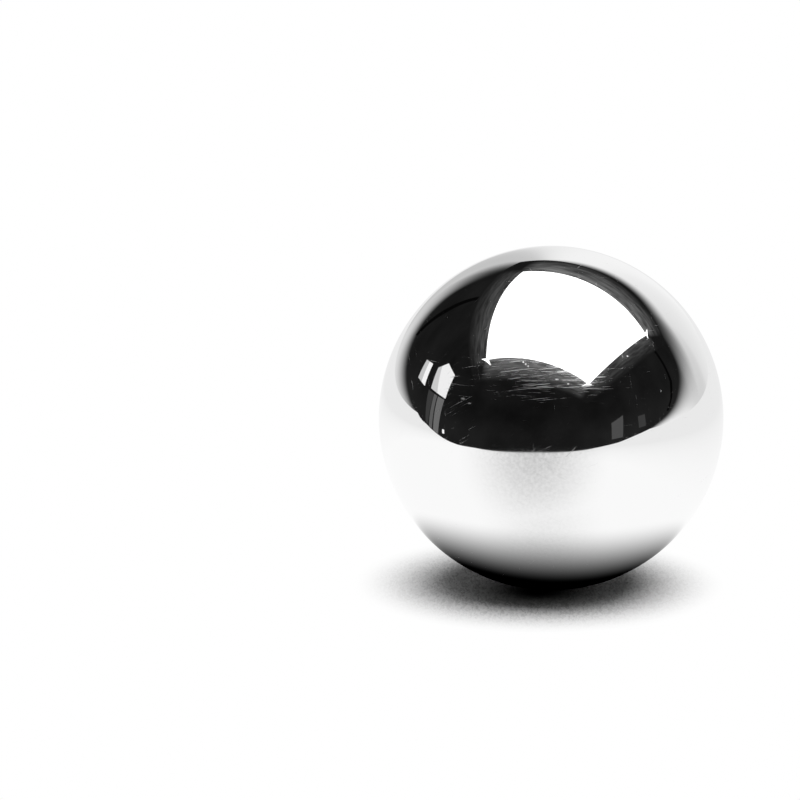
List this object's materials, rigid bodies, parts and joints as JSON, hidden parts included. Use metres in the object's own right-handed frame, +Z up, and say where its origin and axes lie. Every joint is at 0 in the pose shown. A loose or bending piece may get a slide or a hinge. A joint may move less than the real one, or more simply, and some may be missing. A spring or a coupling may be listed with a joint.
{
  "type": "steel ball",
  "caption": "Solid steel ball with a mirror-polished surface, one plain sphere without a flat, bore or seam.",
  "frame": {"origin": "centre of the ball", "axes": "+Z up, away from the seat that the ball is held in; +X to the right and +Y away from a viewer in front"},
  "size_m": [0.05, 0.05, 0.05],
  "materials": {
    "polished_steel": "polished"
  },
  "bodies": {
    "root": {"ball": "polished_steel"}
  },
  "joints": []
}
